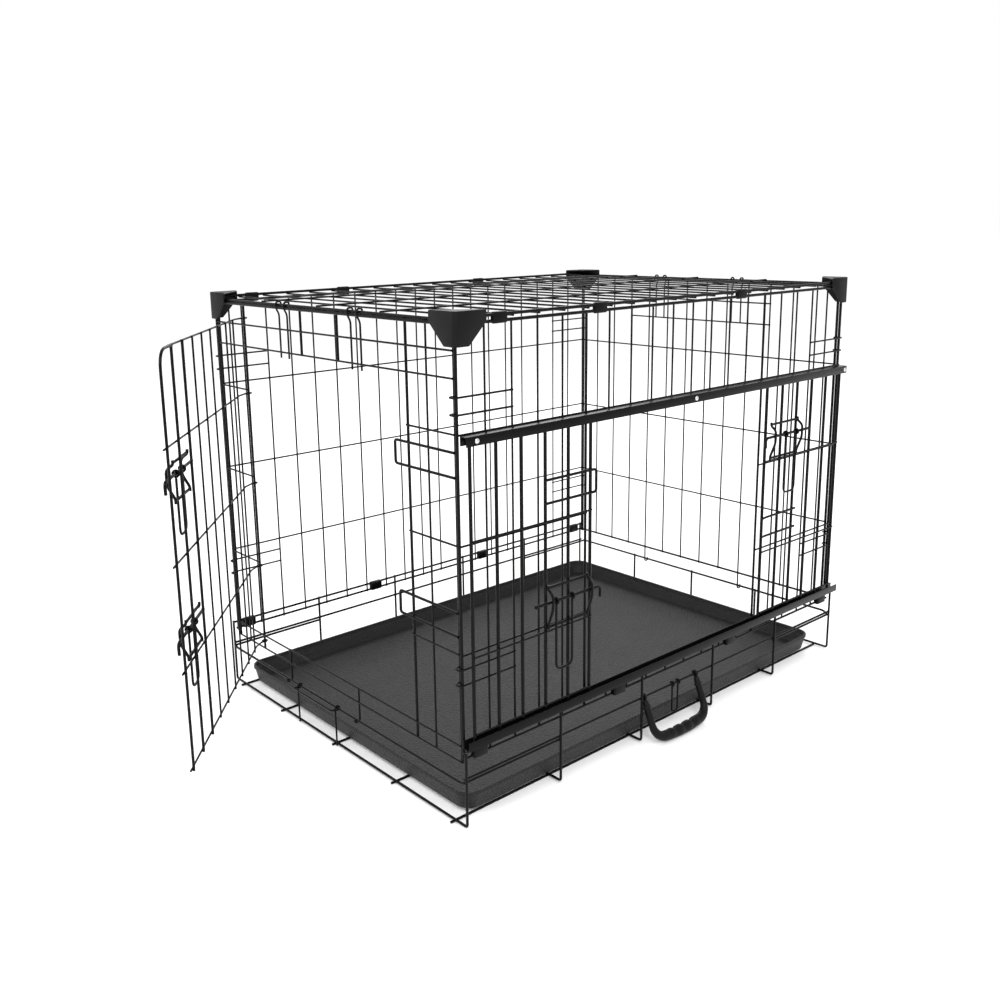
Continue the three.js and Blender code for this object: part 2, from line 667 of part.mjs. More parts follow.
function tray() {
  const x = -BASE_X + TRAY_SETBACK + TRAY_LENGTH / 2;
  const outside = trayBlock(0, WELD / 2, TRAY_HEIGHT - WELD / 2);
  const inside = trayBlock(TRAY_WALL, TRAY_WALL + WELD / 2, TRAY_HEIGHT + WELD);
  return outside.subtract(inside).translate([x, 0, TRAY_FLOOR]);
}

add('tray', tray(), trayPlastic);

// The stop hangs from the front wire by two eyes. Its legs cross the tray's way out.
function trayStop() {
  const half = STOP_WIDTH / 2;
  const outer = KNUCKLE_OUTER - WELD;
  const foot = MID + GAP;
  const shift = MID / 2 + GAP + FINE / 2;
  const eyes = [-half, half].map((u) => (
    ring(walls.front(STOP_MIDDLE + u, BASE_STEP, BASE_FRONT), [90, 0, 0], outer, KNUCKLE_INNER, FINE)
  ));
  const legs = [-half, half].map((u) => {
    const y = STOP_MIDDLE + u;
    const middle = BASE_STEP + (outer + KNUCKLE_INNER) / 2;
    return bentWire([
      walls.front(y, BASE_STEP + STOP_REACH, BASE_FRONT),
      walls.front(y, middle, BASE_FRONT),
      walls.front(y, BASE_STEP + shift, foot),
    ], FINE);
  });
  const push = bar(
    walls.front(STOP_MIDDLE - half, BASE_STEP + STOP_REACH, BASE_FRONT),
    walls.front(STOP_MIDDLE + half, BASE_STEP + STOP_REACH, BASE_FRONT),
    FINE,
  );
  return [...eyes, ...legs, push];
}

add('tray_stop', trayStop(), enamel);

// ---------------------------------------------------------------- carry handle and hasp

// Both turn on the basket's middle wire. r runs down from that wire, turned out by a lean.
function hanging(lean) {
  const angle = THREE.MathUtils.degToRad(lean);
  return (x, r) => walls.near(x, BASE_STEP + r * Math.sin(angle), BASE_MID - r * Math.cos(angle));
}

function carryHandle() {
  const at = hanging(GRIP_LEAN);
  const outer = KNUCKLE_OUTER + WELD;
  const sides = [GRIP_X - GRIP_WIDTH / 2, GRIP_X + GRIP_WIDTH / 2];
  const eyes = sides.map((x) => ring(at(x, 0), [0, 90, 0], outer, KNUCKLE_INNER, GRIP_ARM));
  const arms = sides.map((x) => bar(at(x, KNUCKLE_INNER + WELD), at(x, GRIP_LENGTH), GRIP_ARM));
  const grip = bar(at(sides[0] - GRIP_ARM / 2, GRIP_LENGTH), at(sides[1] + GRIP_ARM / 2, GRIP_LENGTH), GRIP_BAR);
  return [...eyes, ...arms, grip];
}

function hasp() {
  const at = hanging(0);
  const outer = KNUCKLE_OUTER - WELD;
  const sides = [HASP_X - HASP_WIDTH / 2, HASP_X + HASP_WIDTH / 2];
  const eyes = sides.map((x) => ring(at(x, 0), [0, 90, 0], outer, KNUCKLE_INNER, FINE));
  const root = (outer + KNUCKLE_INNER) / 2;
  const loop = [at(sides[0], root), at(sides[0], HASP_LENGTH), at(sides[1], HASP_LENGTH), at(sides[1], root)];
  return [...eyes, bentWire(loop, FINE)];
}

add('carry_handle', carryHandle(), plastic);
add('fold_hook', hasp(), enamel);

export default crate;
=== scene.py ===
import math

import bmesh
import bpy
from mathutils import Matrix, Vector


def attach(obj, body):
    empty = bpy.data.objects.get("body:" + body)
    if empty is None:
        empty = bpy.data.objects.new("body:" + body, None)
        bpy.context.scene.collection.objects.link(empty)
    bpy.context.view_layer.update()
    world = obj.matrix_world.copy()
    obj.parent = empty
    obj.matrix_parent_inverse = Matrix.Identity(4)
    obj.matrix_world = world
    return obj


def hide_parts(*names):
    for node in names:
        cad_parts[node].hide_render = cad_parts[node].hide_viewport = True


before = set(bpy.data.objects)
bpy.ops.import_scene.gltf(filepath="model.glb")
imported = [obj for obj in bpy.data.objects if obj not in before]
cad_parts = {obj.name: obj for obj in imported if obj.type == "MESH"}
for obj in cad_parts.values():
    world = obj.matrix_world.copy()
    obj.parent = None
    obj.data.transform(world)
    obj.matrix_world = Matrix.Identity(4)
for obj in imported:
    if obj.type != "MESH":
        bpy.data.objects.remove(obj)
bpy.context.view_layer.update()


# ---- long side panels
# Grids of drawn steel rod, spot-welded where they cross and dipped in black enamel. Thick rods run
# round the edge, and short ties at both ends hook round the posts of the end panels. Millimetres
# are used throughout, with +X along the crate, -Y to the sliding doors and +Z up.

MM = 0.001
LENGTH, WIDTH, HEIGHT = 762, 540, 600
SIDE_X, SIDE_Y = LENGTH / 2, WIDTH / 2
FINE, MID, FRAME, STOUT = 1.25, 1.7, 2.0, 2.1    # radii of the four gauges of rod
UPRIGHTS = 20
PITCH = LENGTH / (UPRIGHTS - 1)
PANEL_BOTTOM, PANEL_TOP = 88, 586
SILL, LEVELS = 107, (214, 342, 467)
DOORWAY = (5, 14)                                # the uprights that edge the near side's opening
TIE_LEVELS = (178, 197, 489, 508)
BEDDING, SINK = 0.2, 0.88                        # how deep a weld sets two rods into one another


class Field:
    """A value that varies over a surface. Sums and products of fields add their Math nodes."""

    def __init__(self, tree, socket=None):
        self.tree, self.socket = tree, socket

    def feed(self, target, value):
        """Links a field to a node's socket, or sets the socket to a plain value."""
        if isinstance(value, Field):
            self.tree.links.new(value.socket, target)
        else:
            target.default_value = value

    def node(self, kind, inputs, output=0, **settings):
        """A node of a kind, with its settings made first and its sockets then fed."""
        node = self.tree.nodes.new("ShaderNode" + kind)
        for key, value in settings.items():
            setattr(node, key, value)
        for key, value in inputs.items():
            self.feed(node.inputs[key], value)
        return Field(self.tree, node.outputs[output])

    def __add__(self, other):
        return self.node("Math", {0: self, 1: other}, operation="ADD")

    def __mul__(self, other):
        return self.node("Math", {0: self, 1: other}, operation="MULTIPLY")

    __radd__, __rmul__ = __add__, __mul__


def finish(name, color, roughness, specular, metallic=0.0, grain=900, relief=0.15, depth=0.0005):
    """A material that is a little uneven in colour and gloss, with a fine relief in metres."""
    material = bpy.data.materials.new(name)
    material.use_nodes = True
    surface = Field(material.node_tree)
    place = surface.node("TexCoord", {}, "Object")
    cloudy = surface.node("TexNoise", {"Vector": place, "Scale": 14, "Detail": 4}, "Fac")
    grainy = surface.node("TexNoise", {"Vector": place, "Scale": grain, "Detail": 2}, "Fac")
    deep, pale = [(*[min(1, c * share) for c in color], 1) for share in (0.82, 1.2)]
    shader = material.node_tree.nodes["Principled BSDF"].inputs
    surface.feed(shader["Base Color"], surface.node(
        "Mix", {"Factor": cloudy, "A": deep, "B": pale}, "Result", data_type="RGBA"))
    surface.feed(shader["Roughness"], cloudy * 0.12 + (roughness - 0.06))
    surface.feed(shader["Metallic"], metallic)
    surface.feed(shader["Specular IOR Level"], specular)
    surface.feed(shader["Normal"], surface.node(
        "Bump", {"Strength": relief, "Distance": depth, "Height": grainy}, "Normal"))
    return material


ENAMEL = finish("enamel", (0.0022, 0.0022, 0.0023), 0.28, 0.1)


def rounded(points, bend):
    """The points of a rod with each corner turned into an arc that starts a bend before it."""
    path = [points[0]]
    for before, corner, after in zip(points, points[1:], points[2:]):
        a, b = before - corner, after - corner
        reach = min(bend, a.length * 0.48, b.length * 0.48)
        start, end = corner + a.normalized() * reach, corner + b.normalized() * reach
        for i in range(7):
            t = i / 6
            path.append(start.lerp(corner, t).lerp(corner.lerp(end, t), t))
    path.append(points[-1])
    return path


def finished(piece, body, nodes, material):
    """Gives a piece its finish, its body and the CAD nodes that it stands for."""
    piece.data.materials.append(material)
    bpy.context.scene.collection.objects.link(piece)
    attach(piece, body)
    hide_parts(*nodes)


def wires(name, body, nodes, runs, turn=None, material=ENAMEL, bend=4.0):
    """One piece of many rods. A run is its points, its radius and perhaps its own bend.

    A run with a radius for each point is taken as it stands, with no corner rounded.
    """
    curve = bpy.data.curves.new(name, "CURVE")
    curve.dimensions = "3D"
    curve.bevel_depth = MM
    curve.bevel_resolution = 3
    curve.use_fill_caps = True
    for points, radius, *own_bend in runs:
        path = [Vector(p) for p in points]
        tapered = isinstance(radius, list)
        if not tapered:
            path = rounded(path, own_bend[0] if own_bend else bend)
        if turn:
            path = [turn @ p for p in path]
        spline = curve.splines.new("POLY")
        spline.points.add(len(path) - 1)
        for i, (point, place) in enumerate(zip(spline.points, path)):
            point.co = (*(place * MM), 1)
            point.radius = radius[i] if tapered else radius
        spline.use_smooth = True
    finished(bpy.data.objects.new(name, curve), body, nodes, material)


def near(u, out, v):
    """A point of the near side: along it, out from its plane, and up."""
    return (u, -SIDE_Y - out, v)


def far(u, out, v):
    return (u, SIDE_Y + out, v)


def inner(radius, lift=0):
    return lift + BEDDING - radius * SINK


def outer(radius, lift=0):
    return lift - BEDDING + radius * SINK


def upright(at, u, low=PANEL_BOTTOM, high=PANEL_TOP, radius=FINE, lift=0):
    """A rod on the inner face of a panel, standing just past the level rods at its ends."""
    out = inner(radius, lift)
    return ([at(u, out, low - radius), at(u, out, high + radius)], radius)


def level(at, v, left, right, radius=FINE, lift=0):
    """A rod on the outer face of a panel."""
    out = outer(radius, lift)
    return ([at(left, out, v), at(right, out, v)], radius)


def tie(at, end, v):
    """A short rod that hooks round the end panel's post at the left (-1) or right (1) end."""
    tip = end * (SIDE_X + 5)
    return ([at(end * (SIDE_X - 2 * PITCH), 0.8, v), at(tip, 0.8, v), at(tip, -7.5, v),
             at(end * (SIDE_X - 1), -9.5, v)], FINE)


def side_runs(at, opening):
    first, last = DOORWAY
    gate = (last - first) / 2 * PITCH
    runs = []
    for i in range(UPRIGHTS):
        u = -SIDE_X + i * PITCH
        if opening and first < i < last:
            runs += [upright(at, u, PANEL_BOTTOM, SILL), upright(at, u, LEVELS[2], PANEL_TOP)]
        elif i in (0, UPRIGHTS - 1):
            runs.append(upright(at, u, radius=FRAME))
        else:
            runs.append(upright(at, u, radius=MID if opening and i in DOORWAY else FINE))
    runs.append(level(at, PANEL_BOTTOM, -SIDE_X - MID, SIDE_X + MID, MID))
    runs.append(level(at, PANEL_TOP, -SIDE_X - FRAME, SIDE_X + FRAME, FRAME))
    for v in LEVELS:
        if opening and v < LEVELS[2]:
            runs += [level(at, v, -SIDE_X, -gate), level(at, v, gate, SIDE_X)]
        else:
            runs.append(level(at, v, -SIDE_X, SIDE_X))
    if opening:
        runs.append(level(at, SILL, -SIDE_X, SIDE_X))
    return runs + [tie(at, end, v) for v in TIE_LEVELS for end in (-1, 1)]


wires("near_side_grid", "crate", ["near_side_panel"], side_runs(near, True))
wires("far_side_grid", "crate", ["far_side_panel"], side_runs(far, False))


# ---- end panels
# Two more welded grids. The tops of a few short uprights curl over the top panel's end rod, and
# two legs under each hook on the base basket. The front one is the frame of the hinged door, with
# two keepers for its bolts.

END_POST = 264.4
HINGE_JAMB, FREE_JAMB = SIDE_Y - 80, 90 - SIDE_Y
STRIPS = (SIDE_Y - 38, 53 - SIDE_Y)              # the fine uprights beside the door
FRONT_SILLS, FRONT_HEADS = (81, 101), (528, 558)
HEAD_STUBS = (-42, 42)
LATCH_LEVELS = (240, 424)
KEEPER_HALF, KEEPER_BEND = 14, 12                # half its height, and the run-in of its closed end
FRONT_KEEPER_TIP, FRONT_KEEPER_LIFT = -157, -0.4
REAR_PITCH = WIDTH / 13
REAR_HEADS = (520, 554)


def front(u, out, v):
    return (-SIDE_X - out, u, v)


def rear(u, out, v):
    return (SIDE_X + out, u, v)


def crown(at, u):
    """A short upright whose top curls over the top panel's end rod."""
    return ([at(u, -0.8, 520), at(u, -0.8, 578), at(u, 3.4, 585), at(u, 3.4, 593.5),
             at(u, -4.2, 594.0), at(u, -5.0, 588)], FINE)


def leg(at, u, high, rod):
    """A short upright whose foot turns out under a rod of the base basket."""
    under = rod - 3.4
    return ([at(u, -0.8, high), at(u, -0.8, under), at(u, 7.2, under), at(u, 7.2, under + 5)], FINE)


def keeper(at, v, root, tip, lift=0, rise=0):
    """A hairpin of rod that a bolt's hook drops behind; rise sets its closed end further out."""
    out = outer(MID, lift)
    bend = tip + math.copysign(KEEPER_BEND, root - tip)
    top, bottom = v + KEEPER_HALF, v - KEEPER_HALF
    return ([at(root, out, top), at(bend, out, top), at(tip, out + rise, top),
             at(tip, out + rise, bottom), at(bend, out, bottom), at(root, out, bottom)], MID)


low, high = FRONT_SILLS[0], PANEL_TOP
front_runs = [upright(front, u, low, high, FRAME) for u in (-END_POST, END_POST)]
front_runs += [upright(front, u, low, high, MID) for u in (HINGE_JAMB, FREE_JAMB)]
front_runs += [upright(front, u, low, high) for u in STRIPS]
front_runs += [upright(front, u, FRONT_HEADS[0], high, MID) for u in HEAD_STUBS]
front_runs += [crown(front, u) for u in (-93, -73, 73, 93)]
front_runs += [level(front, v, -END_POST, END_POST) for v in (*FRONT_SILLS, *FRONT_HEADS)]
front_runs.append(level(front, PANEL_TOP, -END_POST, END_POST, FRAME))
for v in LEVELS:
    front_runs += [level(front, v, HINGE_JAMB, END_POST), level(front, v, -END_POST, FREE_JAMB)]
front_runs += [leg(front, u, FRONT_SILLS[1], 57) for u in (115, -55)]
front_runs += [keeper(front, v + 9, -END_POST, FRONT_KEEPER_TIP, FRONT_KEEPER_LIFT)
               for v in LATCH_LEVELS]
wires("door_end_grid", "crate", ["door_end_panel"], front_runs)

rear_runs = [upright(rear, (i - 5.5) * REAR_PITCH) for i in range(12)]
rear_runs += [upright(rear, u, radius=FRAME) for u in (-END_POST, END_POST)]
rear_runs += [crown(rear, u) for u in (-89, -71, 71, 89)]
rear_runs += [level(rear, v, -3.5 * REAR_PITCH, 3.5 * REAR_PITCH) for v in REAR_HEADS]
rear_runs += [level(rear, v, -END_POST, END_POST) for v in LEVELS]
rear_runs.append(level(rear, PANEL_BOTTOM, -END_POST, END_POST, MID))
rear_runs.append(level(rear, PANEL_TOP, -END_POST, END_POST, FRAME))
rear_runs += [leg(rear, u, PANEL_BOTTOM, 64) for u in (-2.5 * REAR_PITCH, 2.5 * REAR_PITCH)]
wires("rear_end_grid", "crate", ["rear_end_panel"], rear_runs)


# ---- top panel
# A rectangle of thick rod with fine cross rods at the same pitch as the long sides, welded under
# three long rods. It lies on the four side panels and is held by clips, caps and curled uprights.

TOP_PLANE = 591.3
TOP_EDGE = SIDE_Y + 1.7


def top(u, out, v):
    return (u, v, TOP_PLANE + out)


top_runs = [upright(top, -SIDE_X + i * PITCH, -TOP_EDGE, TOP_EDGE) for i in range(1, UPRIGHTS - 1)]
top_runs += [upright(top, x, -TOP_EDGE, TOP_EDGE, FRAME) for x in (-SIDE_X, SIDE_X)]
top_runs += [level(top, y, -SIDE_X, SIDE_X, FRAME) for y in (-TOP_EDGE, TOP_EDGE)]
top_runs += [level(top, y, -SIDE_X, SIDE_X) for y in (-WIDTH / 4, 0, WIDTH / 4)]
wires("top_grid", "crate", ["top_panel"], top_runs)


# ---- base basket
# A tray-shaped basket of middle-gauge rod that the crate stands on. Six cradles cross the floor
# and turn up at both long sides, three runners turn up behind, and the front is left low so that
# the tray slides out over it.

CRADLES, CRADLE_SPAN = 6, 2 * 384.6
CRADLE_Y, CRADLE_TOP, CRADLE_Z = 276.8, 98.2, 3.8
RUNNER_Z, RUNNER_FRONT, RUNNER_BACK, RUNNER_TOP = 1.65, 390.2, 387.6, 65.4
OUTER_RUNNER_Y, OUTER_RUNNER_BACK = 253, 385
WALL_X, WALL_Y, WALL_LEVELS = 386.4, 274.4, (97, 64)
HOOP_X, HOOP_ROOT, HOOP_ARM = 385.4, 231, 59.5    # a rod round each end, welded along both sides
FRONT_HOOP_Y, FRONT_HOOP_Z = 268, 57
REAR_HOOP_Y, REAR_HOOP_Z = 266, 64


def hoop(end, y, z):
    """A rod across an end of the basket, with both its arms laid along the long walls."""
    x = end * HOOP_X
    return ([(end * HOOP_ROOT, -WALL_Y, HOOP_ARM), (x, -WALL_Y, HOOP_ARM), (x, -y, z), (x, y, z),
             (x, WALL_Y, HOOP_ARM), (end * HOOP_ROOT, WALL_Y, HOOP_ARM)], MID)


base_runs = []
for i in range(CRADLES):
    x = (i - (CRADLES - 1) / 2) * CRADLE_SPAN / (CRADLES - 1)
    base_runs.append(([(x, -CRADLE_Y, CRADLE_TOP), (x, -CRADLE_Y, CRADLE_Z),
                       (x, CRADLE_Y, CRADLE_Z), (x, CRADLE_Y, CRADLE_TOP)], MID))
for y in (-WIDTH / 4, 0, WIDTH / 4):
    base_runs.append(([(-RUNNER_FRONT, y, RUNNER_Z), (RUNNER_BACK, y, RUNNER_Z),
                       (RUNNER_BACK, y, RUNNER_TOP)], MID))
for y in (-OUTER_RUNNER_Y, OUTER_RUNNER_Y):
    base_runs.append(([(-RUNNER_FRONT, y, RUNNER_Z), (OUTER_RUNNER_BACK, y, RUNNER_Z)], MID))
for y in (-WALL_Y, WALL_Y):
    base_runs += [([(-WALL_X, y, z), (WALL_X, y, z)], MID) for z in WALL_LEVELS]
base_runs += [hoop(-1, FRONT_HOOP_Y, FRONT_HOOP_Z), hoop(1, REAR_HOOP_Y, REAR_HOOP_Z)]
wires("base_basket", "crate",
      ["base_floor", "base_wall_near", "base_wall_far", "base_wall_rear", "base_wall_front"], base_runs)


# ---- clips
# Black steel strip rolled into a flat sleeve round two rods that lie side by side. The low ones
# join each long side to the base basket and the high ones join it to the top panel, and they are
# what the crate folds on.

SLEEVE_HALF, SLEEVE_BEND = 11, 2.6
SLEEVES = {                                      # bays, out from the side's plane, and up
    "low": ((-9, -3, 3, 9), (-1.5, 7.2), (85.2, 99.8)),
    "high": ((-8, -4, 3), (-1.5, 4.8), (582.9, 596)),
}


def solid(name, body, nodes, bm, material, bevel, segments):
    """A piece from a mesh whose sharp edges are rounded by a bevel in mm."""
    bmesh.ops.recalc_face_normals(bm, faces=bm.faces)
    sharp = [e for e in bm.edges if len(e.link_faces) == 2 and e.calc_face_angle() > 0.4]
    bmesh.ops.bevel(bm, geom=sharp, offset=bevel * MM, segments=segments, profile=0.5,
                    affect="EDGES", clamp_overlap=True, material=-1)
    mesh = bpy.data.meshes.new(name)
    bm.to_mesh(mesh)
    bm.free()
    for face in mesh.polygons:
        face.use_smooth = True
    mesh.set_sharp_from_angle(angle=math.radians(40))
    finished(bpy.data.objects.new(name, mesh), body, nodes, material)


def sleeve(name, node, x, outs, rises, side):
    low = Vector((x - SLEEVE_HALF, side * (SIDE_Y + outs[0]), rises[0])) * MM
    high = Vector((x + SLEEVE_HALF, side * (SIDE_Y + outs[1]), rises[1])) * MM
    size = [abs(v) for v in high - low]
    bm = bmesh.new()
    bmesh.ops.create_cube(
        bm, size=1, matrix=Matrix.Translation((low + high) / 2) @ Matrix.Diagonal((*size, 1)))
    solid(name, "crate", [node], bm, ENAMEL, SLEEVE_BEND, 4)


for wall, side in (("near", -1), ("far", 1)):
    for kind, (bays, outs, rises) in SLEEVES.items():
        for i, bay in enumerate(bays, 1):
            node = f"{wall}_{kind}_clip_{i}"
            sleeve("sleeve_" + node, node, bay * PITCH, outs, rises, side)


# ---- corner caps
# Injection-moulded shells pushed over the four top corners. Each has two tapering cheeks that meet
# in a rounded corner and a three-sided lid, all of one wall.

CAP_X, CAP_Y = SIDE_X + 6.4, SIDE_Y + 6.4
CAP_SPAN, CAP_SHOULDER, CAP_CORNER = 45, 20, 7
CAP_DEPTH, CAP_TIP, CAP_WALL = 38, 13, 2.2
CAP_PLASTIC = finish("moulded_plastic", (0.003, 0.003, 0.0032), 0.42, 0.13, grain=1500, relief=0.35)


def cap_path(skin):
    """The cap's plan from one cheek's tip round the corner to the other's, with each one's drop."""
    r = CAP_CORNER - skin
    arc = [math.radians(15 * i) for i in range(7)]
    return ([(CAP_SPAN, skin, CAP_TIP), (CAP_SHOULDER, skin, CAP_DEPTH)]
            + [(CAP_CORNER - r * math.sin(t), CAP_CORNER - r * math.cos(t), CAP_DEPTH) for t in arc]
            + [(skin, CAP_SHOULDER, CAP_DEPTH), (skin, CAP_SPAN, CAP_TIP)])


def cap(name, node, sx, sy):
    def at(u, v, drop):
        return Vector((sx * (CAP_X - u), sy * (CAP_Y - v), HEIGHT - drop)) * MM

    bm = bmesh.new()
    rings = []
    for skin in (0, CAP_WALL):
        path = cap_path(skin)
        rings.append([bm.verts.new(at(u, v, skin)) for u, v, _ in path])
        rings.append([bm.verts.new(at(u, v, drop)) for u, v, drop in path])
    top_out, low_out, top_in, low_in = rings
    for a, b in ((top_out, low_out), (low_out, low_in), (low_in, top_in)):
        for i in range(len(a) - 1):
            bm.faces.new((a[i], a[i + 1], b[i + 1], b[i]))
    bm.faces.new(top_out)
    bm.faces.new(list(reversed(top_in)))
    for i in (0, -1):
        bm.faces.new((top_out[i], low_out[i], low_in[i], top_in[i]))
    bm.faces.new((top_out[0], top_in[0], top_in[-1], top_out[-1]))
    solid(name, "crate", [node], bm, CAP_PLASTIC, 1.0, 3)


for end, sx in (("front", -1), ("rear", 1)):
    for wall, sy in (("near", -1), ("far", 1)):
        cap(f"cap_{end}_{wall}", f"corner_cap_{end}_{wall}", sx, sy)


# ---- door channels
# Two lengths of steel strip folded to a U, open towards each other, that the sliding doors run in.
# The upper one is held to the side panel by three bright steel rivets.

CHANNEL_FOLDS = (3, 4, 13, 14)                   # the lips' faces, out from the side's plane
CHANNEL_DEPTH = 11
UPPER_CHANNEL, LOWER_CHANNEL = 461, 107
RIVET_STEEL = finish("rivet_steel", (0.62, 0.63, 0.64), 0.28, 0.5, metallic=1.0, relief=0.1,
                     depth=0.0003)
RIVET_RADIUS, RIVET_FLATNESS = 3.2, 0.5


def channel(name, node, middle, ends, opening):
    """Its section is a U whose web is the strip's thickness, and opening is 1 for upward."""
    web, floor_, rim = [middle + opening * (h - CHANNEL_DEPTH / 2) for h in (0, 1, CHANNEL_DEPTH)]
    a, b, c, d = [-SIDE_Y - out for out in CHANNEL_FOLDS]
    section = ((a, web), (d, web), (d, rim), (c, rim), (c, floor_), (b, floor_), (b, rim), (a, rim))
    bm = bmesh.new()
    face = bm.faces.new([bm.verts.new(Vector((ends[0], y, z)) * MM) for y, z in section])
    grown = bmesh.ops.extrude_face_region(bm, geom=[face], use_keep_orig=True)
    moved = [g for g in grown["geom"] if isinstance(g, bmesh.types.BMVert)]
    bmesh.ops.translate(bm, verts=moved, vec=Vector((ends[1] - ends[0], 0, 0)) * MM)
    solid(name, "crate", [node], bm, ENAMEL, 0.45, 2)


def rivet(name, node, x):
    """Half a flattened ball on the channel's outer face."""
    seat = Vector(near(x, CHANNEL_FOLDS[-1] + 0.3, UPPER_CHANNEL)) * MM
    bm = bmesh.new()
    bmesh.ops.create_uvsphere(bm, u_segments=24, v_segments=12, radius=RIVET_RADIUS * MM,
                              matrix=Matrix.Translation(seat) @ Matrix.Diagonal((1, RIVET_FLATNESS, 1, 1)))
    bmesh.ops.bisect_plane(bm, geom=bm.verts[:] + bm.edges[:] + bm.faces[:], plane_co=seat,
                           plane_no=(0, 1, 0), clear_outer=True)
    bmesh.ops.holes_fill(bm, edges=[e for e in bm.edges if e.is_boundary], sides=0)
    solid(name, "crate", [node], bm, RIVET_STEEL, 0.1, 1)


channel("channel_upper", "upper_rail", UPPER_CHANNEL, (-SIDE_X, SIDE_X + 1), -1)
channel("channel_lower", "lower_rail", LOWER_CHANNEL, (-SIDE_X - 4, SIDE_X + 10), 1)
for i, x in enumerate((-366, 13, 376), 1):
    rivet(f"rivet_head_{i}", f"rail_rivet_{i}", x)


# ---- latches
# All of bent rod: a guide loop welded to a door, a bolt with a drooping hook that slides through
# its two raised legs, and a long pull hung on the bolt by a full turn of rod at each end.

BOLT_R, PULL_R, LOOP_R = 1.95, 1.5, 1.75
LOOP_OUT, LEG_OUT, BOLT_OUT = 2.1, 10.2, 6.4     # out from the door's plane
SLIDE_LATCH = dict(hook=-11, guide=8, width=67, drop=32, pull=39, span=27, length=88, bolt=108)
END_LATCH = dict(hook=6, guide=26, width=57, drop=26, pull=48, span=25, length=72, bolt=104)
LOOP_RISE, HOOK_DROP = 17, 14


def coil(at, s, out, v, radius, rod):
    """One full turn of rod in the plane across the bolt."""
    steps = [i / 16 * math.tau for i in range(17)]
    return ([at(s, out + radius * math.sin(t), v - radius * math.cos(t)) for t in steps],
            [rod] * len(steps))


def latch(prefix, at, v, sizes, lift, door, turn=None):
    low, high = v - sizes["drop"], v + LOOP_RISE
    flat, raised, axis = lift + LOOP_OUT, lift + LEG_OUT, lift + BOLT_OUT
    legs = (sizes["guide"], sizes["guide"] + sizes["width"])
    loop = [([at(s, flat, high + 3), at(s, flat, high - 2), at(s, raised, v + 9),
              at(s, raised, v - 9), at(s, flat, low + 2), at(s, flat, low - 3)], LOOP_R) for s in legs]
    loop += [([at(legs[0], flat, z), at(legs[1], flat, z)], LOOP_R) for z in (low, high)]
    wires(prefix + "_loop", door, [prefix + "_guide"], loop, turn, bend=6)

    hook, tail = sizes["hook"], sizes["hook"] + sizes["bolt"]
    shaft = [at(tail, axis, v), at(hook, axis, v), at(hook + 1, axis, v - HOOK_DROP)]
    knob = [(-1, 1.9), (0.5, 2.2), (2, 2.3), (3.5, 2.0), (4, 1.0)]
    knob_run = ([at(tail + along, axis, v) for along, _ in knob], [radius for _, radius in knob])
    wires(prefix + "_rod", prefix + "_bolt", [prefix + "_bolt"], [(shaft, BOLT_R), knob_run], turn,
          bend=8)

    arms = (sizes["pull"], sizes["pull"] + sizes["span"])
    foot, neck = v - sizes["length"], v - 3.2
    ring = [at(arms[0], axis, neck), at(arms[0], axis, foot), at(arms[1], axis, foot),
            at(arms[1], axis, neck)]
    coils = [coil(at, s, axis, v, BOLT_R + PULL_R, PULL_R) for s in arms]
    wires(prefix + "_ring", prefix + "_pull", [prefix + "_pull"], [(ring, PULL_R)] + coils, turn,
          bend=9)


# ---- sliding doors
# Six stout uprights with fine level rods, welded up flat. Their ends ride in the two channels. Each
# door carries a latch, and a keeper that the other door's bolt drops behind when both are shut.

SLIDER_EDGE, SLIDER_PITCH, SLIDER_LIFT = 182, 38, 9.8
SLIDER_ENDS, SLIDER_LEVELS = (105.3, 462.7), (118, 212, 348, 460.6)
SLIDER_KEEPER_ROOT, SLIDER_KEEPER_TIP, SLIDER_KEEPER_RISE = 80, -6, 1.15
LOW_LATCH, HIGH_LATCH = 250, 384

for side, prefix, bolt_v, keeper_v in ((-1, "left_door", LOW_LATCH, HIGH_LATCH),
                                       (1, "right_door", HIGH_LATCH, LOW_LATCH)):
    def slider(s, out, v, side=side):
        """A point of the door: in from its meeting edge, out from the side's plane, and up."""
        return near(side * (SLIDER_EDGE + s), out, v)

    runs = [upright(slider, i * SLIDER_PITCH, *SLIDER_ENDS, STOUT, SLIDER_LIFT) for i in range(6)]
    runs += [level(slider, v, 0, 5 * SLIDER_PITCH, FINE, SLIDER_LIFT) for v in SLIDER_LEVELS]
    runs.append(keeper(slider, keeper_v, SLIDER_KEEPER_ROOT, SLIDER_KEEPER_TIP, SLIDER_LIFT,
                       SLIDER_KEEPER_RISE))
    wires(prefix + "_grid", prefix, [prefix + "_panel"], runs)
    latch(prefix, slider, bolt_v, SLIDE_LATCH, SLIDER_LIFT, prefix)


# ---- end door
# A welded leaf whose level rods end in eyes round the jamb, which it swings on. Its free edge is a
# thicker rod with a rounded top corner. It is built shut and then turned open.

OPEN_ANGLE = math.radians(-41)
HINGE = Matrix.Translation((-379.8, HINGE_JAMB, 0))
SWING = HINGE @ Matrix.Rotation(OPEN_ANGLE, 4, "Z") @ HINGE.inverted()
LEAF_LIFT, LEAF_WIDTH = 5.8, 370
LEAF_LEVELS = (91, 208, 332, 462, 567)
LEAF_PITCH, STOUT_PITCH = 40.25, 128.5 / 3
EYE_RADIUS, EYE_OUT = 3.5, -1.2


def leaf(u, out, v):
    """A point of the shut door, measured from its hinge."""
    return front(HINGE_JAMB - u, out, v)


def from_edge(s, out, v):
    return leaf(LEAF_WIDTH - s, out, v)


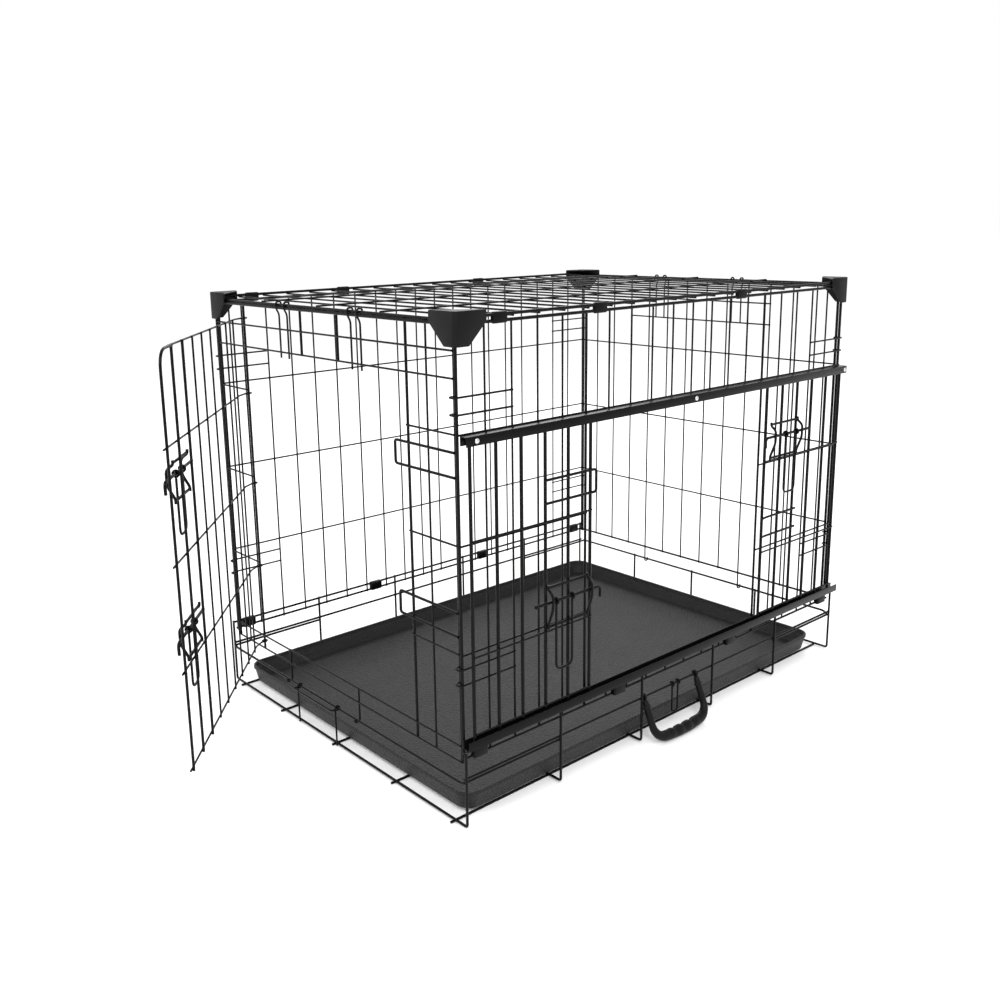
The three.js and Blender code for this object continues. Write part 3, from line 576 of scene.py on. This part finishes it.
def hinged_level(v, reach):
    """A level rod: an open eye round the jamb, an easy ramp out, and a straight run."""
    line = outer(FINE, LEAF_LIFT)
    path = []
    for i in range(17):
        t = math.radians(20 + 20 * i)
        path.append(leaf(-EYE_RADIUS * math.sin(t), EYE_OUT - EYE_RADIUS * math.cos(t), v))
    path += [leaf(u, line + (1.2 - line) * (22 - u) / 20, v) for u in (6, 12, 17)]
    path += [leaf(u, line, v) for u in (22, 40, 200, reach)]
    return (path, [FINE] * len(path))


bottom, crest = LEAF_LEVELS[0], LEAF_LEVELS[-1]
door_runs = [upright(leaf, LEAF_PITCH * i, bottom, crest, FINE, LEAF_LIFT) for i in range(1, 7)]
door_runs += [upright(leaf, LEAF_PITCH * 6 + STOUT_PITCH * i, bottom, crest, MID, LEAF_LIFT)
              for i in (1, 2)]
edge = inner(MID, LEAF_LIFT)
door_runs.append(([leaf(LEAF_WIDTH, edge, bottom - 2), leaf(LEAF_WIDTH, edge, crest),
                   leaf(LEAF_WIDTH - 45, edge, crest)], MID, 26))
door_runs += [hinged_level(v, LEAF_WIDTH - 40 if v == crest else LEAF_WIDTH + 5) for v in LEAF_LEVELS]
wires("end_door_grid", "end_door", ["end_door_panel"], door_runs, SWING)
for prefix, v in zip(("end_lower", "end_upper"), LATCH_LEVELS):
    latch(prefix, from_edge, v, END_LATCH, LEAF_LIFT, "end_door", SWING)


# ---- tray
# A shallow vacuum-formed pan of pebbled plastic with drafted walls, a rolled rim, a step inside it
# and rounded corners. It slides on the base basket's cradles.

TRAY_PLASTIC = finish("tray_plastic", (0.0105, 0.0106, 0.011), 0.42, 0.2, grain=330, relief=1.0,
                      depth=0.0022)
TRAY_HALF_X, TRAY_HALF_Y, TRAY_FOOT, TRAY_MIDDLE = 367.5, 261, 5.6, -4.9
TRAY_CORNER, CORNER_TAPER = 22, 0.6
TRAY_PROFILE = (                                 # inset from the rim's outside, and rise
    (7, 0), (5.4, 1.2), (1.6, 19.6), (0, 20.4), (0, 24.4), (0.6, 25),
    (2.4, 25), (3, 24.3), (3.2, 19), (6.5, 17.8), (10, 3.6), (12, 2.5),
)


def rounded_loop(bm, inset, rise):
    """A level loop of the pan, inset from its outside, with a quarter turn at each corner."""
    radius = TRAY_CORNER - inset * CORNER_TAPER
    loop = []
    for quarter, (sx, sy) in enumerate(((1, 1), (-1, 1), (-1, -1), (1, -1))):
        for i in range(9):
            t = math.radians(quarter * 90 + i * 11.25)
            loop.append(bm.verts.new(Vector((
                TRAY_MIDDLE + sx * (TRAY_HALF_X - inset - radius) + radius * math.cos(t),
                sy * (TRAY_HALF_Y - inset - radius) + radius * math.sin(t),
                TRAY_FOOT + rise)) * MM))
    return loop


bm = bmesh.new()
loops = [rounded_loop(bm, inset, rise) for inset, rise in TRAY_PROFILE]
for a, b in zip(loops, loops[1:]):
    for i in range(len(a)):
        j = (i + 1) % len(a)
        bm.faces.new((a[i], a[j], b[j], b[i]))
bm.faces.new(list(reversed(loops[0])))
bm.faces.new(loops[-1])
solid("tray_pan", "tray", ["tray"], bm, TRAY_PLASTIC, 0.2, 1)


# ---- tray stop
# A wide U of fine rod hung by two eyes on the base basket's front rod. Its legs hang across the
# tray's way out, and it is lifted to let the tray slide.

STOP_LEGS, STOP_EYE = (-9, 86), 3.2
STOP_OUT, STOP_FOOT = 7.2, 3.3                   # the legs' place, and the lowest they hang
stop_runs = [coil(front, y, 4.4, FRONT_HOOP_Z, STOP_EYE, FINE) for y in STOP_LEGS]
a, b = STOP_LEGS
stop_runs.append(([front(a, STOP_OUT, STOP_FOOT), front(a, 7.8, 55), front(a, 15.4, 57),
                   front(b, 15.4, 57), front(b, 7.8, 55), front(b, STOP_OUT, STOP_FOOT)], FINE))
wires("stop_wire", "tray_stop", ["tray_stop"], stop_runs, bend=3)


# ---- carry handle
# A moulded D-shaped grip with finger grooves, thicker along the bottom. Its two arms are pinned to
# eyes on the near wall's middle rod, and it hangs there until its grip rests outward.

LEAN = math.radians(23)
ROD_OUT, ROD_UP = WALL_Y - SIDE_Y, WALL_LEVELS[1]
GRIP_MIDDLE, GRIP_HALF, GRIP_DROP, GRIP_BEND = -15, 55, 59, 19
GRIP_ARM = ((5, 3.2), (9, 4.2), (14, 4.6), (24, 4.7), (38, 5.0))    # down the arm, and radius
BEND_START, GRIP_RADIUS, GRIP_BOW = 5.0, 7.2, 1.6
GROOVE_PITCH, GROOVE_DEPTH = 18, 0.6
GRIP_PIN = ((-6.6, 1.2), (-6, 2.2), (6, 2.2), (6.6, 1.2))           # across the arm, and radius
PIN_DROP, EYE_GAUGE = 15, 2.0


def hung(x, drop, lean=LEAN):
    """A point of something hung on the near wall's middle rod, at its drop from that rod."""
    return near(x, ROD_OUT + drop * math.sin(lean), ROD_UP - drop * math.cos(lean))


def grip_side(end):
    """One arm and the bend under it: points across, down and their radius."""
    path = [(GRIP_MIDDLE + end * GRIP_HALF, drop, radius) for drop, radius in GRIP_ARM]
    for i in range(9):
        t = math.radians(i * 11.25)
        path.append((GRIP_MIDDLE + end * (GRIP_HALF - GRIP_BEND + GRIP_BEND * math.cos(t)),
                     GRIP_DROP - GRIP_BEND + GRIP_BEND * math.sin(t),
                     BEND_START + (GRIP_RADIUS - BEND_START) * i / 8))
    return path


def grip_bar():
    """The bar between the bends, bowed at the bottom and grooved at the top."""
    half = GRIP_HALF - GRIP_BEND
    path = []
    for i in range(1, 40):
        g = -half + 2 * half * i / 40
        groove = math.cos(math.pi * g / (GROOVE_PITCH / 2))
        dip = GROOVE_DEPTH * (1 + groove) * (1 - (g / half) ** 4)
        bow = GRIP_BOW * (1 - (g / half) ** 2)
        path.append((GRIP_MIDDLE + g, GRIP_DROP + bow + dip, GRIP_RADIUS + bow * 0.6 - dip))
    return path


bow_path = grip_side(-1) + grip_bar() + list(reversed(grip_side(1)))
handle_runs = [([hung(x, drop) for x, drop, _ in bow_path], [radius for _, _, radius in bow_path])]
for x in (GRIP_MIDDLE - GRIP_HALF, GRIP_MIDDLE + GRIP_HALF):
    handle_runs.append(coil(near, x, ROD_OUT, ROD_UP, 3.4, EYE_GAUGE))
    handle_runs.append(([hung(x + across, PIN_DROP) for across, _ in GRIP_PIN],
                        [radius for _, radius in GRIP_PIN]))
wires("handle_grip", "carry_handle", ["carry_handle"], handle_runs, material=CAP_PLASTIC)


# ---- fold hook
# A narrow link of fine rod on the same middle rod, between the handle's arms. It catches the other
# long side when the crate is folded, to hold it shut.

HOOK_SIDES, HOOK_EYE, HOOK_LENGTH = (-10, 2), 3.1, 42
a, b = HOOK_SIDES
hook_runs = [([hung(a, 3.3, 0), hung(a, HOOK_LENGTH, 0), hung(b, HOOK_LENGTH, 0), hung(b, 3.3, 0)],
              FINE)]
hook_runs += [coil(near, x, ROD_OUT, ROD_UP, HOOK_EYE, FINE) for x in HOOK_SIDES]
wires("hook_wire", "fold_hook", ["fold_hook"], hook_runs)


# ---- studio
# A pale floor that runs out to a white surround, three soft lamps, and the camera.

FLOOR_HALF, FLOOR_WHITE, FLOOR_GLOW = 40, 0.97, 0.06
bm = bmesh.new()
bmesh.ops.create_grid(bm, x_segments=1, y_segments=1, size=FLOOR_HALF)
mesh = bpy.data.meshes.new("floor")
bm.to_mesh(mesh)
bm.free()
floor = bpy.data.objects.new("floor", mesh)
bpy.context.scene.collection.objects.link(floor)
pale_floor = bpy.data.materials.new("pale_floor")
pale_floor.use_nodes = True
paper = pale_floor.node_tree.nodes["Principled BSDF"].inputs
paper["Base Color"].default_value = (FLOOR_WHITE, FLOOR_WHITE, FLOOR_WHITE, 1)
paper["Roughness"].default_value = 0.8
paper["Emission Color"].default_value = (1, 1, 1, 1)
paper["Emission Strength"].default_value = FLOOR_GLOW
mesh.materials.append(pale_floor)

world = bpy.data.worlds.new("studio")
world.use_nodes = True
world.node_tree.nodes["Background"].inputs["Color"].default_value = (1, 1, 1, 1)
world.node_tree.nodes["Background"].inputs["Strength"].default_value = 1.0
bpy.context.scene.world = world
bpy.context.scene.view_settings.view_transform = "Standard"


def area_light(name, place, size, power):
    """A round soft lamp that points at the middle of the crate. Metres and watts."""
    lamp = bpy.data.lights.new(name, "AREA")
    lamp.shape = "DISK"
    lamp.size = size
    lamp.energy = power
    light = bpy.data.objects.new(name, lamp)
    light.location = place
    aim = Vector((0, 0, HEIGHT / 2 * MM)) - Vector(place)
    light.rotation_euler = aim.to_track_quat("-Z", "Y").to_euler()
    bpy.context.scene.collection.objects.link(light)


area_light("key", (-1.6, -2.4, 2.6), 1.6, 70)
area_light("fill", (-2.8, 0.8, 1.6), 2.0, 30)
area_light("rim", (2.0, 2.0, 2.4), 1.6, 35)

CAMERA_PLACE = (-1.0747, -1.1090, 0.6890)        # metres
AZIMUTH, ELEVATION, ROLL = math.radians(-40.42), math.radians(12.55), math.radians(-1.05)
back = Vector((math.sin(AZIMUTH) * math.cos(ELEVATION), -math.cos(AZIMUTH) * math.cos(ELEVATION),
               math.sin(ELEVATION)))
right = Vector((math.cos(AZIMUTH), math.sin(AZIMUTH), 0))
up = back.cross(right)
across = right * math.cos(ROLL) + up * math.sin(ROLL)
upward = up * math.cos(ROLL) - right * math.sin(ROLL)
lens = bpy.data.cameras.new("camera")
lens.lens = 37.29
lens.sensor_width = 36
lens.shift_x = 0.0271
lens.shift_y = -0.0461
lens.clip_end = 200
camera = bpy.data.objects.new("camera", lens)
camera.matrix_world = (Matrix.Translation(CAMERA_PLACE)
                       @ Matrix((across, upward, back)).transposed().to_4x4())
bpy.context.scene.collection.objects.link(camera)
bpy.context.scene.camera = camera
